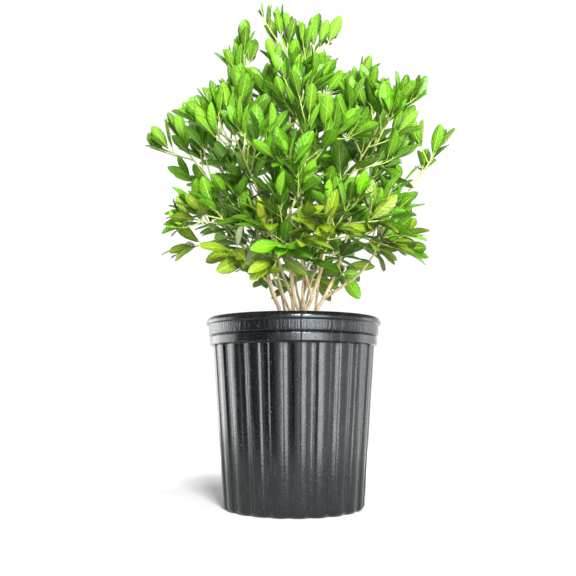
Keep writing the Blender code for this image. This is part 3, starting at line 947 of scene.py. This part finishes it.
def leaf_pieces(leaves):
    ribs = {}
    for kind, look in KINDS.items():
        build = Build()
        for leaf in leaves:
            if leaf.kind == kind:
                grid, line, ups = blade(leaf)
                build.add(blade_points(grid, line, ups).tolist(), TOP_FACES + UNDER_FACES)
                ribs.setdefault(look.rib, Build()).add(*midrib(leaf, line, ups))
        # The first half of a blade's faces are its upper side
        half = len(TOP_FACES)
        build.slots = [i // half % 2 for i in range(len(build.faces))]
        materials = [MATERIALS[kind], MATERIALS[kind + "_under"]]
        mesh = build.piece("leaves_" + kind, materials, "leaf_green", FOLIAGE, 75).data
        count = len(mesh.loops) // len(BLADE_PLACES)
        chance = np.random.default_rng(5)
        tones = np.repeat(chance.random((count, 2)), len(BLADE_PLACES), axis=0)
        places = np.tile(BLADE_PLACES, (count, 1))
        for name, values in (("place", places), ("tone", tones)):
            layer = mesh.uv_layers.new(name=name)
            layer.uv.foreach_set("vector", values.ravel().astype(np.float32))
    for rib, build in ribs.items():
        build.piece("midribs_" + rib, [MATERIALS["rib_" + rib]], "leaf_green", FOLIAGE)


# The pot and the mix

# Angles at which a flute has its edges, as shares of the pitch from a crest's middle
EDGE_SHARES = (0.215, 0.235, 0.255, 0.275, 0.30, 0.325, 0.345, 0.365, 0.385)
FLUTE_SHARES = (-0.19, -0.12, -0.04, 0.04, 0.12, 0.19, 0.44, 0.50, 0.56) + EDGE_SHARES
FLUTE_SHARES += tuple(1 - share for share in EDGE_SHARES)
FLUTE_PITCH = 2 * pi / FLUTES
SEAM = radians(-85.4)
SEAM_WIDTH = 0.0032
SEAM_HEIGHT = 0.00030
WALL_WAVES = 0.00022
DRAINS = 6
DRAIN_RADIUS = 0.0065
DRAIN_REACH = 0.078

MIX_EDGE = 0.1228
MIX_RINGS = 70
MIX_SIDES = 190
CHIPS = 900
CHIP_REACH = 0.119
CHIP_LIFT = 0.0006
GRAINS = 190
GRAIN_REACH = 0.118
GRAIN_LIFT = 0.0004
GRAIN_ROWS = 4
GRAIN_SIDES = 7


def flute_radius(height):
    return FOOT_RADIUS + (SHOULDER_RADIUS - FOOT_RADIUS) * height / SHOULDER_HEIGHT


def groove(share):
    """Depth of the flutes, from 0 on a crest to 1, at a share of the pitch from a crest's middle."""
    share = abs((share + 0.5) % 1 - 0.5)
    start = FLUTE_CREST / 2 - FLUTE_ROUNDING
    end = 0.5 - FLUTE_FLOOR / 2 + FLUTE_ROUNDING
    way = clamped((share - start) / (end - start))
    crown = FLUTE_CROWN * min(share / start, 1) ** 2
    hollow = FLUTE_CROWN * min((0.5 - share) / (0.5 - end), 1) ** 2
    return crown + (1 - crown - hollow) * way * way * (3 - 2 * way)


def pot_angles():
    """Angles round the pot, closer together at the flutes' edges and at the mould's seam."""
    angles = [FLUTE_PHASE + (k + s) * FLUTE_PITCH for k in range(FLUTES) for s in FLUTE_SHARES]
    angles += [SEAM + d * 0.003 for d in (-2, -1, 0, 1, 2)]
    turned = sorted((a + pi) % (2 * pi) for a in angles)
    kept = [a for a, b in zip(turned, turned[1:] + [turned[0] + 7]) if b - a > 0.0012]
    return [a - pi for a in kept]


def rounded(rows, reach, steps):
    """Rows of (radius, height, depth) with each inner corner rounded over about that reach."""
    rows = [Vector(row) for row in rows]
    made = [rows[0]]
    for a, b, c in zip(rows, rows[1:], rows[2:]):
        near, far = (b + (p - b).normalized() * min(reach, (p - b).length * 0.45) for p in (a, c))
        for k in range(steps + 1):
            t = k / steps
            made.append(near * (1 - t) ** 2 + b * (2 * t * (1 - t)) + far * t * t)
    return made + [rows[-1]]


def spread(rows, gap):
    """Rows with more between them where they are further apart than the gap."""
    made = []
    for a, b in zip(rows, rows[1:]):
        count = max(1, ceil((Vector(b[:2]) - Vector(a[:2])).length / gap))
        made += [a.lerp(b, k / count) for k in range(count)]
    return made + [rows[-1]]


def pot_rows():
    """The pot's section from its foot up the outside, over the rim and down the inside."""
    depth = FLUTE_DEPTH
    section = (
        (FOOT_RADIUS - 0.0030, 0, depth),
        (flute_radius(0.0030), 0.0030, depth),
        (SHOULDER_RADIUS, SHOULDER_HEIGHT, depth),
        (0.1272, SHOULDER_HEIGHT + 0.0008, 0),
        (0.1275, 0.2510, 0),
        (0.1250, 0.25225, 0),
        (0.1291, 0.2535, 0),
        (0.1299, 0.2690, 0),
        (0.1335, 0.2700, 0),
        (0.1332, 0.2745, 0),
        (0.1310, 0.2785, 0),
        (0.1290, POT_HEIGHT, 0),
        (0.1262, 0.2788, 0),
        (0.1250 - WALL, 0.2415, 0),
        (SHOULDER_RADIUS - WALL, SHOULDER_HEIGHT - WALL, depth),
        (flute_radius(WALL) - WALL, WALL, depth),
    )
    return spread(rounded(section, 0.0013, 3), 0.0065)


def pot_piece():
    angles, rows = pot_angles(), pot_rows()
    verts = []
    for index, (reach, height, depth) in enumerate(rows):
        outer = index < len(rows) * 0.6 and 0.004 < height < 0.279
        for angle in angles:
            radius = reach - depth * groove((angle - FLUTE_PHASE) / FLUTE_PITCH)
            if outer:
                place = Vector((cos(angle) * 5, sin(angle) * 5, height * 22))
                ridge = exp(-(((angle - SEAM) / SEAM_WIDTH) ** 2))
                radius += WALL_WAVES * noise.noise(place) + SEAM_HEIGHT * ridge
            verts.append((radius * cos(angle), radius * sin(angle), height))
    build = Build()
    build.add(verts, closed_walls(len(rows), len(angles)))
    cut_drains(build.piece("pot_body", [MATERIALS["pot"]], "pot_plastic", ["pot"], 40))


def cut_drains(pot):
    """Takes the round drain holes out of the floor."""
    build = Build()
    for k in range(DRAINS):
        low, high = (polar(360 * (k + 0.5) / DRAINS, DRAIN_REACH, z * WALL) for z in (-1, 2))
        build.add(*tube([low, high], [DRAIN_RADIUS] * 2, 28))
    mesh = bpy.data.meshes.new("drains")
    mesh.from_pydata(build.verts, [], build.faces)
    cutter = linked("drains", mesh)
    modifier = pot.modifiers.new("cut", "BOOLEAN")
    modifier.operation = "DIFFERENCE"
    modifier.solver = "EXACT"
    modifier.object = cutter
    graph = bpy.context.evaluated_depsgraph_get()
    whole = bpy.data.meshes.new_from_object(pot.evaluated_get(graph))
    pot.modifiers.clear()
    pot.data = whole
    bpy.data.objects.remove(cutter)


def on_mix(angle, reach, lift=0.0):
    """The point of the mix's crumbled top at an angle and reach, raised by the lift."""
    x, y = reach * cos(angle), reach * sin(angle)
    height = MIX_TOP + 0.0030 * (1 - (hypot(x, y) / 0.1225) ** 2) + 0.0022
    height += noise.noise(Vector((x * 60, y * 60, 3))) * 0.0022
    height += abs(noise.noise(Vector((x * 190, y * 190, 8)))) * 0.0024
    height += noise.noise(Vector((x * 480, y * 480, 1))) * 0.0009
    return Vector((x, y, height + lift))


def mix_pieces():
    """The crumbled top of the mix, its chips of bark and its grains of perlite."""
    verts = [on_mix(0, 0)]
    for i in range(1, MIX_RINGS + 1):
        for k in range(MIX_SIDES):
            angle = 2 * pi * (k + 0.5 * (i % 2)) / MIX_SIDES
            verts.append(on_mix(angle, MIX_EDGE * i / MIX_RINGS))
    verts += [Vector((v.x, v.y, MIX_TOP + 0.0001)) for v in verts[-MIX_SIDES:]]
    faces = [(0, 1 + k, 1 + (k + 1) % MIX_SIDES) for k in range(MIX_SIDES)]
    faces += turned_over(walls(1, MIX_RINGS + 1, MIX_SIDES))
    faces.append(tuple(range(len(verts) - MIX_SIDES, len(verts)))[::-1])
    build = Build()
    build.add(verts, faces)
    build.piece("mix_surface", [MATERIALS["mix"]], "bark_mix")

    chance = random.Random("mix")
    for name, shape, count, reach, lift, sharp in (
        ("chips", chip, CHIPS, CHIP_REACH, CHIP_LIFT, 30),
        ("perlite", grain, GRAINS, GRAIN_REACH, GRAIN_LIFT, None),
    ):
        build = Build()
        for _ in range(count):
            angle = chance.uniform(0, 2 * pi)
            centre = on_mix(angle, reach * sqrt(chance.random()), lift)
            build.add(*shape(centre, chance))
        build.piece("mix_" + name, [MATERIALS[name]], "bark_mix", (), sharp)


def chip(centre, chance):
    """A splinter of bark: a short bent prism with uneven corners."""
    turn, tilt = chance.uniform(0, pi), chance.uniform(-0.45, 0.45)
    along = Vector((cos(turn), sin(turn), sin(tilt))).normalized()
    side, other = across(along)
    length = chance.uniform(0.003, 0.011)
    wide, thick = length * chance.uniform(0.16, 0.40), length * chance.uniform(0.08, 0.18)
    verts = []
    for end, grow in ((-0.5, 0.6), (-0.15, 1.0), (0.2, 0.9), (0.5, 0.5)):
        for a, b in ((1, 1), (-1, 1), (-1, -1), (1, -1)):
            jitter = chance.uniform(0.75, 1.2) * grow / 2
            offset = side * (a * wide * jitter) + other * (b * thick * jitter)
            verts.append(centre + along * (end * length) + offset)
    return verts, turned_over(closed_walls(4, 4))


def grain(centre, chance):
    """A rounded grain of perlite, as a lumpy ball."""
    size = chance.uniform(0.0008, 0.0022)
    verts = [centre + UP * size]
    for i in range(1, GRAIN_ROWS):
        for k in range(GRAIN_SIDES):
            way = leaning(360 * k / GRAIN_SIDES, 180 * i / GRAIN_ROWS)
            verts.append(centre + way * size * chance.uniform(0.75, 1.1))
    verts.append(centre - UP * size)
    last = len(verts) - 1
    faces = turned_over(walls(1, GRAIN_ROWS - 1, GRAIN_SIDES))
    for k in range(GRAIN_SIDES):
        after = (k + 1) % GRAIN_SIDES
        faces.append((0, 1 + k, 1 + after))
        faces.append((last - GRAIN_SIDES + after, last - GRAIN_SIDES + k, last))
    return verts, faces


# Materials


def linear(red, green, blue):
    """A colour given as sRGB values up to 255."""
    made = []
    for value in (red, green, blue):
        v = value / 255
        made.append(v / 12.92 if v <= 0.04045 else ((v + 0.055) / 1.055) ** 2.4)
    return (*made, 1)


def scaled(colour, factor):
    return tuple(min(1.0, c * factor) for c in colour[:3]) + (1,)


def blended(first, second, share):
    return tuple(a * (1 - share) + b * share for a, b in zip(first[:3], second)) + (1,)


WHITE = (1, 1, 1, 1)
# Plain grained surfaces: roughness and specular level, the grain's scale and detail, the scale,
# detail and stretch of the bumps, their height, and the grain's colours from low to high
GRAINED = {
    "older_twig": (
        (0.65, 0.3), (55, 3), (500, 3, (1, 1, 0.25)), 0.0004,
        ((0.35, linear(150, 146, 84)), (0.55, linear(184, 192, 112)), (0.75, linear(208, 206, 142))),
    ),
    "young_twig": (
        (0.55, 0.4), (60, 2), (500, 2), 0.0003,
        ((0.35, linear(150, 186, 72)), (0.7, linear(190, 214, 110))),
    ),
    "mix": (
        (0.95, 0.2), (300, 5), (900, 4), 0.0012,
        ((0.30, linear(28, 17, 14)), (0.52, linear(62, 40, 33)), (0.72, linear(104, 72, 58))),
    ),
    "chips": (
        (0.9, 0.2), (120, 4), (900, 3), 0.0006,
        ((0.32, linear(44, 26, 22)), (0.52, linear(92, 58, 44)), (0.72, linear(140, 98, 74))),
    ),
    "perlite": ((0.9, 0.2), (500, 3), (1500, 3), 0.0005, ((0.3, 0.62), (0.7, 0.88))),
}
RIBS = {"light": linear(186, 220, 84), "dull": linear(140, 168, 66)}
BARKS = {
    "bark": (linear(212, 190, 158), linear(130, 92, 64)),
    "bough": (linear(200, 184, 140), linear(122, 96, 60)),
}
VEINS = 7.0
VEIN_SLANT = 3.0
MATERIALS = {}


class Nodes:
    """Makes nodes in a tree. What an input is given is another node's output or a constant."""

    def __init__(self, tree):
        self.tree = tree

    def give(self, socket, value):
        if isinstance(value, bpy.types.NodeSocket):
            self.tree.links.new(value, socket)
        else:
            socket.default_value = value

    def node(self, kind, inputs):
        made = self.tree.nodes.new(kind)
        for name, value in inputs.items():
            self.give(made.inputs[name], value)
        return made

    def math(self, operation, *values):
        made = self.node("ShaderNodeMath", dict(enumerate(values)))
        made.operation = operation
        return made.outputs["Value"]

    def choose(self, factor, first, second):
        """A number between two others."""
        return self.node("ShaderNodeMix", {0: factor, 2: first, 3: second}).outputs[0]

    def mix(self, factor, first, second, kind="MIX"):
        """A colour mixed from two others. Inputs 6 and 7 and output 2 are the node's colours."""
        made = self.node("ShaderNodeMix", {0: factor, 6: first, 7: second})
        made.data_type = "RGBA"
        made.blend_type = kind
        return made.outputs[2]

    def ramp(self, source, *stops):
        """Colours or greys at places from 0 to 1."""
        made = self.node("ShaderNodeValToRGB", {"Fac": source})
        elements = made.color_ramp.elements
        while len(elements) < len(stops):
            elements.new(0.5)
        for element, (place, colour) in zip(elements, stops):
            element.position = place
            element.color = colour if isinstance(colour, tuple) else (colour, colour, colour, 1)
        return made.outputs["Color"]

    def parts(self, vector):
        return self.node("ShaderNodeSeparateXYZ", {"Vector": vector}).outputs


class Surface(Nodes):
    """A material round one Principled shader."""

    def __init__(self, name, roughness, specular=0.5):
        self.material = bpy.data.materials.new(name)
        self.material.use_nodes = True
        super().__init__(self.material.node_tree)
        self.coords = self.node("ShaderNodeTexCoord", {}).outputs["Object"]
        self.put("Roughness", roughness)
        self.put("Specular IOR Level", specular)
        MATERIALS[name] = self.material

    def put(self, name, value):
        self.give(self.tree.nodes["Principled BSDF"].inputs[name], value)

    def texture(self, kind, stretch, inputs):
        mapping = self.node("ShaderNodeMapping", {"Vector": self.coords, "Scale": stretch})
        return self.node(kind, {"Vector": mapping.outputs["Vector"], **inputs}).outputs

    def noise(self, scale, detail, stretch=(1, 1, 1), roughness=0.5):
        inputs = {"Scale": scale, "Detail": detail, "Roughness": roughness}
        return self.texture("ShaderNodeTexNoise", stretch, inputs)["Fac"]

    def cells(self, scale, stretch):
        return self.texture("ShaderNodeTexVoronoi", stretch, {"Scale": scale})["Distance"]

    def places(self, name):
        """The two values of a named map of the mesh."""
        made = self.node("ShaderNodeUVMap", {})
        made.uv_map = name
        return self.parts(made.outputs["UV"])[:2]

    def relief(self, *layers):
        """Bumps from (height source, distance in metres) pairs."""
        before = {}
        for height, distance in layers:
            inputs = {"Strength": 1.0, "Distance": distance, "Height": height, **before}
            before = {"Normal": self.node("ShaderNodeBump", inputs).outputs["Normal"]}
        self.put("Normal", before["Normal"])


def leaf_surface(name, colour, roughness, specular, veins):
    """A leaf's green, lighter and darker from leaf to leaf, with veins, and finely mottled; painted
    shade darkens it towards its base.
    """
    surface = Surface(name, roughness, specular)
    tone, _ = surface.places("tone")
    across_leaf, along = surface.places("place")
    side = surface.math("ABSOLUTE", surface.math("SUBTRACT", across_leaf, 0.5))
    rows = surface.math("MULTIPLY", along, VEINS)
    slant = surface.math("SUBTRACT", rows, surface.math("MULTIPLY", side, VEIN_SLANT))
    wave = surface.math("PINGPONG", slant, 0.5)
    tones = ((0.0, scaled(colour, 0.55)), (0.5, colour), (1.0, scaled(colour, 1.28)))
    base = surface.ramp(tone, *tones)
    for source, stops in (
        (surface.noise(300, 3), ((0.30, 0.78), (0.70, 1.0))),
        (side, ((0.34, 1.0), (0.43, 0.72), (0.5, 0.38))),
        # painted shade: the blade darkens towards its base, where leaves crowd round the twig
        (along, ((0.0, 0.32), (0.30, 0.74), (0.60, 1.0))),
    ):
        base = surface.mix(1.0, base, surface.ramp(source, *stops), "MULTIPLY")
    pale = blended(colour, linear(206, 232, 110), 0.45)
    lines = surface.ramp(wave, (0.0, veins), (0.10, veins * 0.5), (0.22, 0.0))
    middle = surface.ramp(side, (0.0, 0.75), (0.022, 0.5), (0.048, 0.0))
    surface.put("Base Color", surface.mix(middle, surface.mix(lines, base, pale), pale))
    surface.relief((surface.noise(500, 2), 0.00025), (wave, 0.0006), (surface.noise(110, 2), 0.0014))


def pot_surface():
    """Satin black plastic: faint streaks, scuffs and specks, and ripples in the rim's band."""
    surface = Surface("pot", 0.4, 0.5)
    surface.put("Specular Tint", (0.92, 0.98, 1, 1))
    streaks = surface.noise(16, 5, (1, 1, 0.35), 0.65)
    base = surface.ramp(streaks, (0.40, linear(4, 5, 6)), (0.72, linear(17, 20, 21)))
    scuffs = surface.ramp(surface.noise(150, 4, (1, 1, 0.06), 0.7), (0.58, 0.0), (0.72, 0.5))
    base = surface.mix(scuffs, base, linear(56, 61, 63))
    specks = surface.ramp(surface.noise(640, 2), (0.70, 0.0), (0.78, 0.7))
    surface.put("Base Color", surface.mix(specks, base, linear(150, 152, 152)))
    gloss = surface.ramp(surface.noise(400, 3, (1, 1, 0.6)), (0.3, 0.13), (0.7, 0.30))
    surface.put("Roughness", gloss)
    edges = ((0.2530, 0.0), (0.2545, 1.0), (0.2670, 1.0), (0.2690, 0.0))
    band = surface.ramp(surface.parts(surface.coords)["Z"], *edges)
    ripples = surface.mix(1.0, surface.noise(340, 3, (1, 1, 0.10)), band, "MULTIPLY")
    surface.relief(
        (surface.noise(420, 3, (1, 1, 0.7), 0.6), 0.0002),
        (surface.noise(200, 3, (1, 1, 0.08)), 0.0002),
        (surface.noise(30, 2, (1, 1, 0.2)), 0.0006),
        (ripples, 0.0010),
    )


def make_materials():
    for kind, look in KINDS.items():
        colour = linear(*look.colour)
        leaf_surface(kind, colour, look.roughness, 0.42, 0.10)
        under = blended(colour, linear(136, 172, 60), 0.25)
        leaf_surface(kind + "_under", under, 0.60, 0.20, 0.2)
    for name, colour in RIBS.items():
        surface = Surface("rib_" + name, 0.5)
        stops = ((0.3, scaled(colour, 0.8)), (0.7, colour))
        surface.put("Base Color", surface.ramp(surface.noise(300, 2), *stops))
    for name, (finish, colouring, bumps, height, stops) in GRAINED.items():
        surface = Surface(name, *finish)
        surface.put("Base Color", surface.ramp(surface.noise(*colouring), *stops))
        surface.relief((surface.noise(*bumps), height))
    for name, (pale, dark) in BARKS.items():
        surface = Surface(name, 0.8, 0.25)
        streaks = surface.noise(120, 4, (1, 1, 0.22), 0.6)
        base = surface.ramp(streaks, (0.33, dark), (0.47, scaled(pale, 0.78)), (0.62, pale))
        scars = surface.ramp(surface.cells(95, (1, 1, 0.5)), (0.0, 0.55), (0.16, 1.0))
        surface.put("Base Color", surface.mix(1.0, base, scars, "MULTIPLY"))
        surface.relief((surface.noise(380, 4, (1, 1, 0.3)), 0.0009), (streaks, 0.0012))
    pot_surface()


# Studio

# Share of the wall light round the horizon, from the left (0) by the front (0.25), the right (0.5)
# and the back (0.75) to the left again
ROUND_LIGHT = (
    (0.0, 0.08), (0.025, 0.01), (0.14, 0.01), (0.20, 0.09), (0.26, 0.24), (0.28, 1.0),
    (0.345, 1.0), (0.375, 0.18), (0.51, 0.12), (0.535, 0.34), (0.57, 0.34), (0.60, 0.13),
    (0.83, 0.14), (0.87, 0.48), (0.97, 0.48),
)
WALL_LIGHT = 11.2
CEILING_LIGHT = 0.30
SEEN_WHITE = 1.05
KEY_PLACE = Vector((0.35, -1.9, 1.15))
KEY_AIM = Vector((0, 0, 0.40))
KEY_SIZE = 0.45
KEY_RADIANCE = 106.0
FLOOR_SIDES = 120
FLOOR_RADIUS = 0.80
FLOOR_MIDDLE = Vector((0, 0.36, 0))
FLOOR_DROP = 0.0003
CAMERA_PLACE = (-0.0085, -1.11, 0.1725)
CAMERA_TILT = 0.14
FOCAL_PIXELS = 722.8
PHOTO_PIXELS = 576
SENSOR = 36


def studio_world():
    """A ring of lit walls under a dimmer ceiling. Seen directly it is an even white."""
    world = bpy.data.worlds.new("studio")
    world.use_nodes = True
    nodes = Nodes(world.node_tree)
    way = nodes.node("ShaderNodeTexCoord", {}).outputs["Generated"]
    turn = nodes.node("ShaderNodeTexGradient", {"Vector": way})
    turn.gradient_type = "RADIAL"
    light = nodes.math("MULTIPLY", nodes.ramp(turn.outputs["Fac"], *ROUND_LIGHT), WALL_LIGHT)
    steepness = nodes.math("ABSOLUTE", nodes.parts(way)["Z"])
    edge = {"Value": steepness, "From Min": 0.20, "From Max": 0.42}
    ceiling = nodes.node("ShaderNodeMapRange", edge).outputs["Result"]
    lit = nodes.choose(ceiling, light, CEILING_LIGHT)
    seen = nodes.node("ShaderNodeLightPath", {}).outputs["Is Camera Ray"]
    background = nodes.tree.nodes["Background"].inputs
    nodes.give(background["Strength"], nodes.choose(seen, lit, SEEN_WHITE))
    nodes.give(background["Color"], WHITE)
    return world


def floor():
    """A pale disc that glows into the white background away from the pot: painted light that washes
    out the shadows cast there.
    """
    mesh = bpy.data.meshes.new("floor")
    turns = [360 * k / FLOOR_SIDES for k in range(FLOOR_SIDES)]
    rim = [polar(turn, FLOOR_RADIUS, 0) + FLOOR_MIDDLE for turn in turns]
    mesh.from_pydata(rim, [], [tuple(range(FLOOR_SIDES))])
    surface = Surface("floor", 0.9, 0.1)
    surface.put("Base Color", surface.ramp(surface.noise(3, 2), (0.3, 0.93), (0.7, 0.95)))
    shift = surface.node("ShaderNodeVectorMath", {0: surface.coords, 1: (0, 0.1, 0)})
    reach = surface.node("ShaderNodeVectorMath", {0: shift.outputs["Vector"]})
    reach.operation = "LENGTH"
    # painted light: the floor glows away from the pot, hiding the shadows that fall there
    glow = surface.ramp(reach.outputs["Value"], (0.34, 0.0), (0.48, 0.25), (0.72, 1.0))
    surface.put("Emission Strength", glow)
    surface.put("Emission Color", WHITE)
    mesh.materials.append(surface.material)
    disc = linked("floor", mesh)
    disc.location.z = -FLOOR_DROP


def studio():
    scene = bpy.context.scene
    scene.view_settings.view_transform = "Standard"
    scene.world = studio_world()
    floor()

    data = bpy.data.lights.new("key", "AREA")
    data.shape = "RECTANGLE"
    data.size = data.size_y = KEY_SIZE
    data.energy = KEY_RADIANCE * pi * KEY_SIZE**2
    key = linked("key", data)
    key.location = KEY_PLACE
    key.rotation_euler = (KEY_AIM - KEY_PLACE).to_track_quat("-Z", "Y").to_euler()

    data = bpy.data.cameras.new("camera")
    data.sensor_width = SENSOR
    data.lens = FOCAL_PIXELS / PHOTO_PIXELS * SENSOR
    data.clip_start = 0.01
    scene.camera = linked("camera", data)
    scene.camera.location = CAMERA_PLACE
    scene.camera.rotation_euler = (pi / 2 + CAMERA_TILT, 0, 0)


make_materials()
limbs, carriers = grown_limbs()
older, finer, leaves = grow_crown(limbs)
print("twigs", len(older), len(finer), "leaves", len(leaves))
bark_pieces(limbs, carriers)
twig_pieces(older, finer)
leaf_pieces(leaves)
pot_piece()
mix_pieces()
frame["nodes"]["potting_mix"].data.materials.clear()
frame["nodes"]["potting_mix"].data.materials.append(MATERIALS["mix"])
studio()
